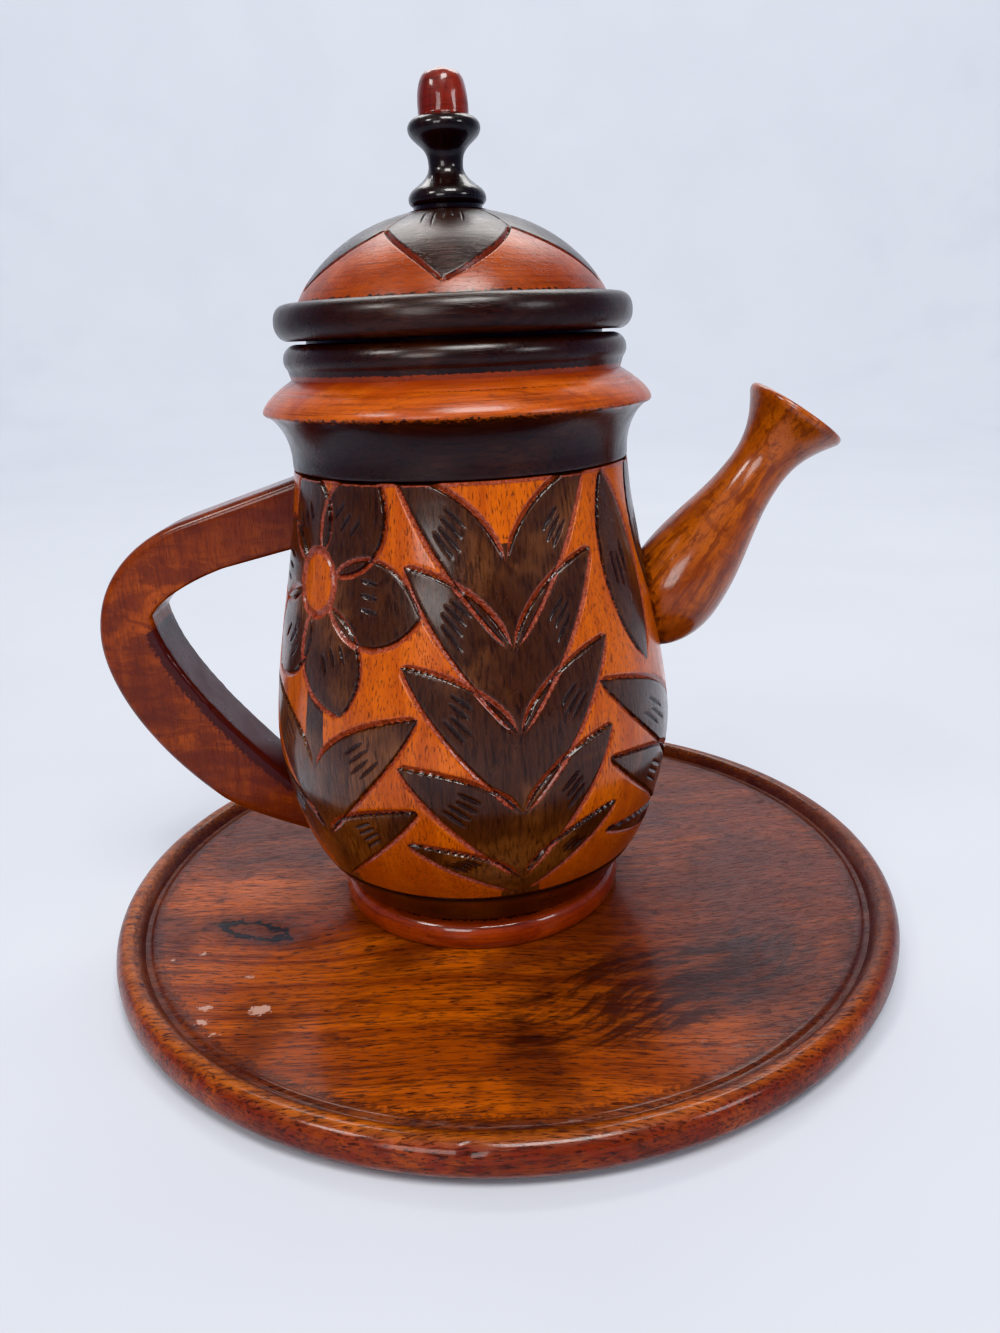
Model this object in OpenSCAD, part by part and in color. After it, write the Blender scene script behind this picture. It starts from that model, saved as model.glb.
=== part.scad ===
// Turned and carved wooden coffee pot, standing on its round wooden tray.
// Millimetres, +Z up. The origin is the centre of the tray's underside.
// The spout points along +X and the handle along -X.

/* [Tray] */
// Diameter of the tray
tray_d = 260; // [240:2:300]
// Overall thickness of the tray
tray_h = 13; // [11:0.5:18]
// Depth of the turned recess below the crest of the rim
tray_recess = 3.5; // [2.5:0.5:5]
// Width of the rim round the recess
rim_w = 9; // [7:0.5:14]

/* [Pot] */
// Place of the pot along X, measured from the centre of the tray
pot_x = -8; // [-14:1:4]
// Diameter of the foot disc
foot_d = 94; // [90:1:98]
// Widest diameter of the carved body
belly_d = 127.5; // [122:0.5:132]
// Diameter of the body where it meets the collar
seam_d = 101.2; // [100:0.2:103]
// Thickness of the body's wall
wall = 8; // [6:0.5:9]
// Diameter of the collar's widest bead
ogee_d = 115.6; // [113:0.2:118]
// Diameter of the collar's bore, which the lid drops into
mouth_d = 77; // [70:0.5:78]

/* [Spout and handle] */
// Tilt of the spout from upright, in degrees
spout_tilt = 35; // [33:1:37]
// Diameter of the passage through the spout
passage_d = 9; // [7:0.5:10]
// Thickness of the board that the handle is sawn from
handle_t = 20; // [16:1:24]
// Diameter of the dowels that hold the handle
dowel_d = 8; // [6:1:9]

/* [Lid] */
// Diameter of the lid's flange
flange_d = 104.6; // [103:0.2:107]
// Diameter of the spigot under the lid
spigot_d = 75.8; // [69:0.2:76]
// Height of the dome above the flange
dome_h = 24.1; // [22:0.1:27]

/* [Hidden] */
$fn = 96;

// Colours
TRAY_BROWN = [0.50, 0.20, 0.08];
FOOT_RED = [0.58, 0.25, 0.11];
BODY_ORANGE = [0.76, 0.38, 0.10];
STAIN_DARK = [0.24, 0.14, 0.09];
SPOUT_GOLD = [0.66, 0.34, 0.11];
DOWEL_PALE = [0.80, 0.66, 0.44];

// Heights in the pot's own frame, where 0 is the recess floor of the tray
tray_floor = tray_h - tray_recess;
foot_ring_h = 8.5;
body_z = 11;
band_z = 20.5;
belly_z = 66.5;
seam_z = 144.2;
collar_top = 179.8;
flange_h = 10.1;
seat_h = 0.8;

// Radii
foot_r = foot_d / 2;
foot_neck_r = foot_r - 4.2;
foot_spigot_r = 18;
foot_spigot_h = 6;
body_foot_r = foot_r - 0.6;
belly_r = belly_d / 2;
seam_r = seam_d / 2;
cavity_r = belly_r - wall;
cavity_floor = 24;
body_mouth_r = seam_r - wall;
collar_spigot_h = 6;
ogee_r = ogee_d / 2;
collar_r = mouth_d / 2;
rim_bead_r = 4.3;
rim_bead_x = 46.2;
flange_r = flange_d / 2;
glue_gap = 0.1;

// Spout: the mouth's centre, from the pot's axis, and the length to the closed end
mouth_x = 103;
mouth_z = 154.5;
spout_len = 86;
spout_tenon_r = 7.5;
tenon_start = 60;
tenon_len = 45;

// Handle dowels
dowel_len = 30;
upper_dowel_at = [-46.5, 0, 131];
upper_dowel_rise = -15;
lower_dowel_at = [-56, 0, 27.7];
lower_dowel_rise = 42;

// Finial
finial_z = 213.9;
finial_tenon_r = 4;
finial_tenon_h = 11;

// Points of a cubic Bezier curve from a to d, without its first point
function curve(a, b, c, d, steps = 10) =
    [for (i = [1 : steps])
        let (t = i / steps, u = 1 - t)
        u * u * u * a + 3 * u * u * t * b + 3 * u * t * t * c + t * t * t * d];

// Points of an arc round a centre, both ends included
function arc(centre, r, from, to, steps = 8) =
    [for (i = [0 : steps])
        let (a = from + (to - from) * i / steps)
        centre + r * [cos(a), sin(a)]];

// Moves its children from the pot's frame to the tray's
module at_pot() {
    translate([pot_x, 0, tray_floor]) children();
}

// Runs its children along the spout's axis, with the mouth at 0 and the pot below
module at_spout() {
    translate([mouth_x, 0, mouth_z]) rotate([0, spout_tilt, 0]) children();
}

// A dowel-shaped rod from a point in the pot's wall, rising away along -X
module rod(at, rise, r) {
    translate(at) rotate([0, rise - 90, 0]) cylinder(r = r, h = dowel_len);
}

module tray() {
    r = tray_d / 2;
    inner = r - rim_w;
    edge = tray_h / 2;
    profile = concat(
        [[0, 0], [r - 12, 0]],
        curve([r - 12, 0], [r - 5, 0.2], [r, 2.5], [r, edge]),
        curve([r, edge], [r, tray_h - 2.2], [r - 2, tray_h], [r - 5, tray_h]),
        curve([r - 5, tray_h], [inner + 2.5, tray_h], [inner + 1, tray_floor + 1.5],
              [inner, tray_floor - 0.6]),
        [[inner - 1.6, tray_floor - 0.6], [inner - 2.6, tray_floor], [0, tray_floor]]);
    color(TRAY_BROWN) rotate_extrude() polygon(profile);
}

module foot() {
    profile = concat(
        [[0, 0], [foot_r - 1.6, 0]],
        curve([foot_r - 1.6, 0], [foot_r - 0.4, 0.6], [foot_r, 2.2], [foot_r, 4]),
        curve([foot_r, 4], [foot_r, 6.6], [foot_r - 1, foot_ring_h],
              [foot_r - 2.6, foot_ring_h]),
        [[foot_neck_r, foot_ring_h + 0.6], [foot_neck_r, body_z],
         [foot_spigot_r, body_z], [foot_spigot_r, body_z + foot_spigot_h],
         [0, body_z + foot_spigot_h]]);
    color(FOOT_RED) at_pot() rotate_extrude() polygon(profile);
}

// Solid outside of the body: dark base band, round belly, straighter shoulders
module body_blank() {
    band_r = foot_r + 6;
    profile = concat(
        [[0, body_z], [body_foot_r, body_z]],
        curve([body_foot_r, body_z], [body_foot_r + 1.8, body_z + 3],
              [band_r - 2.6, band_z - 3], [band_r, band_z], 5),
        curve([band_r, band_z], [belly_r - 3.2, 31.5], [belly_r + 0.9, 55.5],
              [belly_r - 0.1, belly_z], 14),
        curve([belly_r - 0.1, belly_z], [belly_r - 2.7, 94.5], [seam_r + 2.4, 118.5],
              [seam_r, seam_z], 14),
        [[0, seam_z]]);
    rotate_extrude() polygon(profile);
}

module body_cavity() {
    above = seam_z + 1;
    profile = concat(
        [[0, cavity_floor], [36, cavity_floor]],
        curve([36, cavity_floor], [48, cavity_floor + 2], [cavity_r, 46],
              [cavity_r, belly_z], 12),
        curve([cavity_r, belly_z], [cavity_r - 1, 96], [body_mouth_r, 116],
              [body_mouth_r, seam_z - collar_spigot_h - 2], 12),
        [[body_mouth_r, above], [0, above]]);
    rotate_extrude() polygon(profile);
}

module spout_rod(r) {
    at_spout() translate([0, 0, -tenon_start - tenon_len]) cylinder(r = r, h = tenon_len);
}

module body() {
    hole_r = dowel_d / 2 + glue_gap;
    color(BODY_ORANGE) at_pot() difference() {
        body_blank();
        body_cavity();
        translate([0, 0, body_z - 1])
            cylinder(r = foot_spigot_r + glue_gap, h = foot_spigot_h + 1 + glue_gap);
        spout_rod(spout_tenon_r + glue_gap);
        rod(upper_dowel_at, upper_dowel_rise, hole_r);
        rod(lower_dowel_at, lower_dowel_rise, hole_r);
    }
}

module collar() {
    tongue_r = body_mouth_r - glue_gap;
    profile = concat(
        [[collar_r, seam_z - collar_spigot_h], [tongue_r, seam_z - collar_spigot_h],
         [tongue_r, seam_z], [seam_r, seam_z], [seam_r + 0.1, seam_z + 4]],
        curve([seam_r + 0.1, seam_z + 4], [seam_r + 0.4, seam_z + 9.5],
              [seam_r + 3, seam_z + 14.2], [ogee_r - 1.2, seam_z + 16]),
        curve([ogee_r - 1.2, seam_z + 16], [ogee_r - 0.3, seam_z + 16.2],
              [ogee_r, seam_z + 16.5], [ogee_r, seam_z + 17], 4),
        curve([ogee_r, seam_z + 17], [ogee_r - 0.2, seam_z + 19.2],
              [ogee_r - 3.6, seam_z + 22.4], [seam_r - 1.9, seam_z + 25.7]),
        arc([rim_bead_x, collar_top - rim_bead_r], rim_bead_r, -40, 90, 10),
        [[collar_r + 1, collar_top], [collar_r, collar_top - 1]]);
    color(STAIN_DARK) at_pot() rotate_extrude() polygon(profile);
}

// Outside of the spout, turned round its own axis, from the mouth down to its end
module spout_blank() {
    profile = concat(
        [[0, 0], [15.2, 0]],
        curve([15.2, 0], [16.1, -0.2], [16.3, -1.2], [15.6, -2.5], 4),
        curve([15.6, -2.5], [11.5, -8], [9, -13], [8.8, -20]),
        curve([8.8, -20], [8.8, -36], [15.3, -46], [15.5, -64], 12),
        curve([15.5, -64], [15.5, -73], [11, -84], [0, -spout_len], 12));
    rotate_extrude() polygon(profile);
}

// Passage through the spout, flared at the mouth
module spout_passage() {
    r = passage_d / 2;
    depth = tenon_start + tenon_len + 5;
    profile = concat(
        [[0, 1], [12.6, 1], [12.6, 0]],
        curve([12.6, 0], [8.5, -4], [r + 0.4, -9], [r, -16], 8),
        [[r, -depth], [0, -depth]]);
    rotate_extrude() polygon(profile);
}

module spout() {
    color(SPOUT_GOLD) at_pot() difference() {
        union() {
            difference() {
                at_spout() spout_blank();
                body_blank();
            }
            spout_rod(spout_tenon_r);
        }
        body_cavity();
        at_spout() spout_passage();
    }
}

// Outline of the handle in the XZ plane, from the pot's axis
function handle_outline() = concat(
    [[-44, 143.4], [-86.5, 130]],
    curve([-86.5, 130], [-104, 124], [-116, 111], [-116.3, 93]),
    curve([-116.3, 93], [-116.3, 76], [-104, 54.5], [-84.4, 37.5]),
    curve([-84.4, 37.5], [-77, 32], [-66, 28], [-50, 22], 6),
    [[-50, 32], [-61.8, 44.4]],
    curve([-61.8, 44.4], [-80, 64], [-96.5, 85], [-98.7, 101]),
    curve([-98.7, 101], [-96, 106], [-85, 112], [-74.4, 115.3], 6),
    [[-44, 122.4]]);

module handle() {
    hole_r = dowel_d / 2 + glue_gap;
    color(FOOT_RED) at_pot() difference() {
        rotate([90, 0, 0]) linear_extrude(height = handle_t, center = true)
            polygon(handle_outline());
        body_blank();
        rod(upper_dowel_at, upper_dowel_rise, hole_r);
        rod(lower_dowel_at, lower_dowel_rise, hole_r);
    }
}

module upper_dowel() {
    color(DOWEL_PALE) at_pot() rod(upper_dowel_at, upper_dowel_rise, dowel_d / 2);
}

module lower_dowel() {
    color(DOWEL_PALE) at_pot() rod(lower_dowel_at, lower_dowel_rise, dowel_d / 2);
}

module lid() {
    under = collar_top + seat_h;
    top = under + flange_h;
    dome_r = flange_r - 7.3;
    crown = top + dome_h;
    spigot_r = spigot_d / 2;
    profile = concat(
        [[0, collar_top - 2], [spigot_r - 9, collar_top - 8], [spigot_r - 1, collar_top - 8],
         [spigot_r, collar_top - 7], [spigot_r, collar_top], [collar_r + 5, collar_top],
         [collar_r + 5, under], [flange_r - 3.4, under]],
        curve([flange_r - 3.4, under], [flange_r - 0.9, under + 0.6],
              [flange_r, under + 2.8], [flange_r, under + flange_h / 2]),
        curve([flange_r, under + flange_h / 2], [flange_r, top - 2],
              [flange_r - 1.6, top], [flange_r - 4, top]),
        [[dome_r, top]],
        curve([dome_r, top], [dome_r - 5, top + 10.3], [25, crown], [0, crown], 16));
    color(STAIN_DARK) at_pot() difference() {
        rotate_extrude() polygon(profile);
        // flat seat for the finial, and the mortise for its tenon
        translate([0, 0, finial_z]) cylinder(r = flange_r, h = dome_h);
        translate([0, 0, finial_z - finial_tenon_h - glue_gap])
            cylinder(r = finial_tenon_r + glue_gap, h = finial_tenon_h + 1);
    }
}

// Finial: lower bead, waist, upper bead and acorn-shaped tip in one turning
module finial() {
    profile = concat(
        [[0, -finial_tenon_h], [finial_tenon_r, -finial_tenon_h], [finial_tenon_r, 0],
         [9.8, 0], [9.9, 1.4]],
        curve([9.9, 1.4], [11.6, 2], [11.6, 4.6], [9.3, 6.2]),
        curve([9.3, 6.2], [6.6, 8], [4.9, 9.6], [4.9, 11.8]),
        curve([4.9, 11.8], [4.9, 16], [6.8, 16.6], [9.1, 18.8]),
        curve([9.1, 18.8], [11, 20.8], [10.5, 23.2], [7.7, 24.1]),
        [[7.2, 24.3]],
        curve([7.2, 24.3], [7.3, 28.5], [6.9, 33], [5.3, 34.6]),
        curve([5.3, 34.6], [4.4, 35.6], [3, 35.8], [2, 35.9], 4),
        curve([2, 35.9], [1.6, 36.4], [0.8, 36.6], [0, 36.6], 4));
    color(STAIN_DARK) at_pot() translate([0, 0, finial_z]) rotate_extrude() polygon(profile);
}

tray();
foot();
body();
collar();
spout();
handle();
upper_dowel();
lower_dowel();
lid();
finial();
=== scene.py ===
import math

import bmesh
import bpy
import numpy as np
from mathutils import Matrix, Vector


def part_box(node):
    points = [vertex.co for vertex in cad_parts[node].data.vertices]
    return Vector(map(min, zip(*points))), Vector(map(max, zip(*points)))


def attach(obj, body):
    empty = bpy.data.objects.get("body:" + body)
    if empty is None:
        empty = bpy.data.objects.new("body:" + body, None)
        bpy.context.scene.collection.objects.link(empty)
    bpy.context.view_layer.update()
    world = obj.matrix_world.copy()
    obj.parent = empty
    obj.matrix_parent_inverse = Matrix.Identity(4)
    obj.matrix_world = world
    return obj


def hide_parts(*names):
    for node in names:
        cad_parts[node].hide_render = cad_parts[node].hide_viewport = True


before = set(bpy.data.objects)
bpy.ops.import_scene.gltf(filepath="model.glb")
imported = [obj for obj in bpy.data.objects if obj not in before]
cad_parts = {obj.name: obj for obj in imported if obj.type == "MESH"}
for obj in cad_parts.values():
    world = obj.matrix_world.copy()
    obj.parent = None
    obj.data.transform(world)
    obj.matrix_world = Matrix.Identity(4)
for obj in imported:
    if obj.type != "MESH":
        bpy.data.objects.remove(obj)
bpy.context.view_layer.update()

# Turned and carved wooden coffee pot on its tray. Outlines are in millimetres in the pot's own
# frame: distance from the pot's axis, and height above the recess floor of the tray.
MM = 0.001
FAR = 4.0

foot_low, foot_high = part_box("foot")
tray_low, tray_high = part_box("tray")
AXIS_X = (foot_low.x + foot_high.x) / 2 / MM
FLOOR_Z = foot_low.z / MM
TRAY_R = (tray_high.x - tray_low.x) / 2 / MM
TRAY_H = tray_high.z / MM
FOOT_R = (foot_high.x - foot_low.x) / 2 / MM
BELLY_R = (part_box("body")[1].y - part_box("body")[0].y) / 2 / MM
SEAM_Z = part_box("body")[1].z / MM - FLOOR_Z
OGEE_R = (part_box("collar")[1].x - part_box("collar")[0].x) / 2 / MM
COLLAR_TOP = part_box("collar")[1].z / MM - FLOOR_Z
FLANGE_R = (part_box("lid")[1].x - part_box("lid")[0].x) / 2 / MM
FINIAL_TENON = 11.0
FINIAL_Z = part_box("finial")[0].z / MM - FLOOR_Z + FINIAL_TENON
HANDLE_T = (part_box("handle")[1].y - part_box("handle")[0].y) / MM
BAND_Z = 20.5


# ---------------------------------------------------------------- outlines and meshes

def path(start, *steps, pitch=1.0):
    """Points of an outline. A pair of numbers is a straight step to that point; three pairs are a
    Bezier curve: two handles and the point that it runs to."""
    points = [np.array(start, float)]
    for step in steps:
        a = points[-1]
        if np.ndim(step) == 1:
            b = np.array(step, float)
            count = max(1, math.ceil(np.linalg.norm(b - a) / pitch))
            points += [a + (b - a) * i / count for i in range(1, count + 1)]
            continue
        b, c, d = (np.array(p, float) for p in step)
        length = sum(np.linalg.norm(q - p) for p, q in ((a, b), (b, c), (c, d)))
        count = max(3, math.ceil(length / pitch))
        for i in range(1, count + 1):
            t = i / count
            u = 1 - t
            points.append(u**3 * a + 3 * u * u * t * b + 3 * u * t * t * c + t**3 * d)
    return np.array(points)


def join(*outlines):
    """One outline from several, each starting where the one before ends."""
    return np.vstack([outlines[0]] + [o[1:] for o in outlines[1:]])


def skin(name, rings, values=None, loop=False):
    """Closed mesh through rings of points, an array of (ring, point, xyz) in millimetres in the
    pot's frame. A ring shrunk to one point becomes a pole; loop joins the last ring to the first."""
    count, around, _ = rings.shape
    index = np.arange(count * around).reshape(count, around)
    rows = np.vstack([index, index[:1]]) if loop else index
    low, high = rows[:-1], rows[1:]
    faces = np.stack([low, np.roll(low, -1, 1), np.roll(high, -1, 1), high], -1)
    faces = faces.reshape(-1, 4).tolist()
    if not loop:
        faces += [index[0][::-1].tolist(), index[-1].tolist()]
    points = (rings + np.array([AXIS_X, 0, FLOOR_Z])) * MM
    mesh = bpy.data.meshes.new(name)
    mesh.from_pydata(points.reshape(-1, 3), [], faces)
    for key, value in (values or {}).items():
        layer = mesh.attributes.new(key, "FLOAT", "POINT")
        grid = np.broadcast_to(value, (count, around)).astype(np.float32)
        layer.data.foreach_set("value", np.ascontiguousarray(grid).ravel())
    work = bmesh.new()
    work.from_mesh(mesh)
    work.verts.ensure_lookup_table()
    ends = [work.verts[i] for i in np.concatenate([index[0], index[-1]])]
    bmesh.ops.remove_doubles(work, verts=ends, dist=1e-7)
    work.to_mesh(mesh)
    work.free()
    mesh.validate()
    mesh.shade_smooth()
    mesh.set_sharp_from_angle(angle=math.radians(50))
    piece = bpy.data.objects.new(name, mesh)
    bpy.context.scene.collection.objects.link(piece)
    return piece


def turn(profile, around, sink=0.0):
    """Rings of a profile turned round the pot's axis, each point sunk inwards by sink. Azimuth 0
    is the front, and it grows towards the spout."""
    azimuth = azimuths(around)
    along = np.gradient(profile, axis=0)
    along /= np.maximum(np.linalg.norm(along, axis=1, keepdims=True), 1e-9)
    sink = np.broadcast_to(sink, (len(profile), around))
    r = np.maximum(profile[:, :1] - sink * along[:, 1:], 0)
    z = profile[:, 1:] + sink * along[:, :1]
    a = np.radians(azimuth)[None, :]
    return np.stack([r * np.sin(a), -r * np.cos(a), np.broadcast_to(z, r.shape)], -1)


def azimuths(around):
    """Azimuths of a ring's points in degrees, from the handle round by the front."""
    return -90 + np.arange(around) * 360 / around


def arc_length(profile):
    """Distance along an outline to each of its points."""
    return np.concatenate([[0], np.cumsum(np.linalg.norm(np.diff(profile, axis=0), axis=1))])


def waver(azimuth, height, seed, scale=0.05):
    """Slow unevenness of hand work, between about -1 and 1, on a grid of azimuth and height."""
    rng = np.random.default_rng(seed)
    total = 0
    for turns in (1, 2, 3, 5, 8):
        phase, lean, weight = rng.uniform(0, 2 * math.pi), rng.uniform(-1, 1), rng.uniform(0.4, 1)
        total = total + weight * np.sin(np.radians(azimuth) * turns + height * scale * lean * turns + phase)
    return total / 3


def place(piece, body, node, material):
    """Hands a piece to its body, CAD node and material slot."""
    piece.data.materials.append(material)
    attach(piece, body)
    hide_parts(node)
    return piece


# ---------------------------------------------------------------- hand carving

def smooth_line(points, pitch=0.8):
    """Curve through given points (azimuth, level), as a dense line."""
    p = np.array(points, float)
    if len(p) == 2:
        return p[0] + (p[1] - p[0]) * np.linspace(0, 1, 6)[:, None]
    p = np.vstack([2 * p[0] - p[1], p, 2 * p[-1] - p[-2]])
    out = []
    for a, b, c, d in zip(p, p[1:], p[2:], p[3:]):
        count = max(2, math.ceil(np.linalg.norm(c - b) / pitch))
        t = np.linspace(0, 1, count, endpoint=False)[:, None]
        out.append(0.5 * (2 * b + (c - a) * t + (2 * a - 5 * b + 4 * c - d) * t**2
                          + (3 * b - a - 3 * c + d) * t**3))
    return np.vstack(out + [p[-2:-1]])


def ease(x):
    """Smooth step from 0 to 1."""
    x = np.clip(x, 0, 1)
    return x * x * (3 - 2 * x)


class Carving:
    """Cuts and painted shapes on a turned surface, worked out on its grid of points. A place is
    (azimuth, level), where level is the height or radius that the surface is marked out in."""

    def __init__(self, profile, level, around):
        self.radius = profile[:, 0]
        self.s = arc_length(profile)
        self.level = level
        self.azimuth = azimuths(around)
        shape = (len(profile), around)
        self.depth = np.zeros(shape)
        self.shape_mm = np.full(shape, -FAR)
        self.bevel_mm = np.full(shape, -FAR)
        self.wall_mm = np.full(shape, -FAR)
        self.cut_mm = np.full(shape, -FAR)

    def along(self, level):
        order = np.argsort(self.level)
        return np.interp(level, self.level[order], self.s[order])

    def near(self, line, margin=4.0):
        """Distance from the grid's points to a line, the side they are on, and how far along it."""
        az, s = line[:, 0], self.along(line[:, 1])
        rows = np.nonzero((self.s > s.min() - margin) & (self.s < s.max() + margin))[0]
        middle = (az.min() + az.max()) / 2
        scale = np.radians(np.maximum(self.radius[rows], 8.0))
        reach = (az.max() - az.min()) / 2 + margin / scale.min()
        offset = (self.azimuth - middle + 180) % 360 - 180
        columns = np.nonzero(np.abs(offset) < reach)[0]
        x = offset[columns][None, :] * scale[:, None]
        y = self.s[rows][:, None]
        best = np.full(x.shape, 1e9)
        side = np.ones(x.shape)
        travelled = np.zeros(x.shape)
        length = 0.0
        typical = np.median(scale)
        for (a0, s0), (a1, s1) in zip(zip(az, s), zip(az[1:], s[1:])):
            ax = (a0 - middle) * scale[:, None]
            dx = (a1 - a0) * scale[:, None]
            dy = s1 - s0
            t = np.clip(((x - ax) * dx + (y - s0) * dy) / (dx * dx + dy * dy + 1e-12), 0, 1)
            ox, oy = x - ax - t * dx, y - s0 - t * dy
            distance = np.hypot(ox, oy)
            step = math.hypot((a1 - a0) * typical, dy)
            closer = distance < best
            best = np.where(closer, distance, best)
            side = np.where(closer, np.sign(dx * oy - dy * ox), side)
            travelled = np.where(closer, length + t * step, travelled)
            length += step
        return np.ix_(rows, columns), best, side, travelled, length

    def raise_to(self, grid, window, value):
        grid[window] = np.maximum(grid[window], value)

    def groove(self, line, outer, depth=1.0, width=1.25, wall=0.32, fade=(3.0, 9.0)):
        """V cut along a line: a steep wall on the shape's side and a wide bevel on the outer
        side, which is +1 for the left of the line's run and -1 for its right."""
        window, distance, side, travelled, length = self.near(line)
        fade = np.minimum(fade, length * 0.45)
        force = ease(travelled / fade[0] + 0.25) * ease((length - travelled) / fade[1] + 0.12)
        swell = 1 + 0.35 * np.sin(math.pi * travelled / length)
        out = distance * np.where(side == 0, 1, side) * outer
        bevel, steep = width * force * swell + 1e-6, wall * force + 1e-6
        v = np.clip(np.where(out > 0, 1 - out / bevel, 1 + out / steep), 0, 1)
        self.raise_to(self.depth, window, depth * force * swell**0.5 * v)
        self.raise_to(self.bevel_mm, window, np.minimum(bevel - 0.12 - out, (out + 0.02) * 4))
        # wall_mm marks the steep wall, where near-black painted shade goes
        self.raise_to(self.wall_mm, window, np.minimum(steep + 0.06 + out, 0.1 - out))

    def fill(self, outline):
        """Marks the inside of a closed outline as stained."""
        line = np.vstack([outline, outline[:1]])
        window, distance, _, _, _ = self.near(line)
        az, level = line[:, 0], self.along(line[:, 1])
        middle = (az.min() + az.max()) / 2
        x = ((self.azimuth[window[1].ravel()] - middle + 180) % 360 - 180)[None, :]
        y = self.s[window[0].ravel()][:, None]
        inside = np.zeros(distance.shape, bool)
        for a0, s0, a1, s1 in zip(az - middle, level, az[1:] - middle, level[1:]):
            if s0 == s1:
                continue
            crosses = (s0 > y) != (s1 > y)
            inside ^= crosses & (x < a0 + (y - s0) * (a1 - a0) / (s1 - s0))
        self.raise_to(self.shape_mm, window, np.where(inside, distance, -distance))

    def gouge(self, start, end, width=0.62, depth=0.5):
        """One stroke of a small gouge: a lens-shaped cut."""
        window, distance, _, travelled, length = self.near(smooth_line([start, end]), 2.0)
        place_along = np.clip(travelled / length, 0, 1)
        half = width * np.sqrt(np.clip(4 * place_along * (1 - place_along), 0, 1)) + 1e-6
        self.raise_to(self.depth, window, depth * half / width * np.clip(1 - (distance / half)**2, 0, 1))
        # cut_mm marks the stroke, where near-black painted shade goes
        self.raise_to(self.cut_mm, window, half - distance)

    def leaf(self, upper, lower, strokes=(), turned=False):
        """Leaf with an upper and a lower edge, each from tip to root, and gouge strokes in it."""
        self.fill(np.vstack([upper, lower[::-1]]))
        outer = -1 if turned else 1
        self.groove(upper, outer)
        self.groove(lower, -outer, width=0.95, depth=0.85)
        for start, end in strokes:
            self.gouge(start, end)


def mirrored(points, about):
    """Points (azimuth, level) mirrored about an azimuth."""
    return [(2 * about - a, level) for a, level in points]


# The ornament is made by rule: stems with paired leaves, and a flower. Places are (azimuth, height)
PATTERN_TOP = SEAM_Z + 2.8
STEM_FOOT = 18
LOWEST_ROOT = 24
MAIN_AZ, FLOWER_AZ, SPOUT_AZ = 13, -46, 90
HEART = (-49, 116)
HEART_WIDE, HEART_HIGH = 8.4, 9.2
PETAL_LONG, PETAL_HALF = 38, 11.5
PETALS, PETAL_TURN = 6, -10


def leaf_edges(tip, low_root, high_root):
    """Upper and lower edge, from the tip, of a leaf that rises from a stem and arches outwards."""
    def edge(root, leave, arrive):
        run = np.subtract(root, tip)
        return path(tip, [tip + run * leave, root - run * arrive, root], pitch=0.8)
    return edge(high_root, (0.45, 0.1), (0.12, 0.55)), edge(low_root, (0.18, 0.3), (0.42, 0.34))


def petal_edges(tip, root, half):
    """Both edges of a straight pointed petal, from its tip: the one left of that run, then the right."""
    run = np.subtract(root, tip)
    aside = np.array([-run[1], run[0]]) / np.hypot(*run) * half * 4 / 3
    return [path(tip, [tip + run * 0.25 + k * aside, tip + run * 0.75 + k * aside, root], pitch=0.8)
            for k in (1, -1)]


def gouge_row(upper, lower, count, rng):
    """Short strokes side by side in the middle of a leaf."""
    def inside(t, across):
        low, high = (edge[round(t * (len(edge) - 1))] for edge in (lower, upper))
        return low + (high - low) * across
    rows = []
    for k in range(count):
        start = 0.4 + rng.uniform(-0.03, 0.03)
        across = 0.24 + 0.17 * k
        rows.append((inside(start, across), inside(start + 0.17, across)))
    return rows


def sprig(rng, stem_az, side, count, foot, pitch, reach, lift, grow):
    """Edges of the leaves up one side of a stem, -1 for its left and 1 for its right. Each leaf's
    tip is lift above its root, and grow more for each leaf further up."""
    leaves = []
    for k in range(count):
        high = foot + pitch * k
        low = max(high - pitch, LOWEST_ROOT)
        tip_az = stem_az + side * (reach + rng.uniform(-1.5, 1.5))
        tip_z = min(high + lift + grow * k + rng.uniform(-1.2, 1.2), PATTERN_TOP)
        leaves.append(leaf_edges((tip_az, tip_z), (stem_az, low), (stem_az, high)))
    return leaves


def flower_petals():
    """Edges of the petals round the flower's heart, shortened where the seam cuts them off."""
    petals = []
    for k in range(PETALS):
        angle = math.radians(PETAL_TURN + 360 * k / PETALS)
        way = np.array([math.cos(angle), math.sin(angle)])
        room = (PATTERN_TOP - HEART[1]) / max(way[1], 0.01)
        tip = np.array(HEART) + way * min(PETAL_LONG, room)
        petals.append(petal_edges(tip, np.array(HEART) + way * 5, PETAL_HALF))
    return petals


def stem(azimuth, top, foot_half, half):
    """Outline of a stem that spreads at the foot."""
    left = path((azimuth - foot_half, STEM_FOOT), [(azimuth - half, 30), (azimuth - half, 50),
                                                   (azimuth - half * 0.7, top)], pitch=1.5)
    return np.vstack([left, mirrored(left, azimuth)[::-1]])


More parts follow.
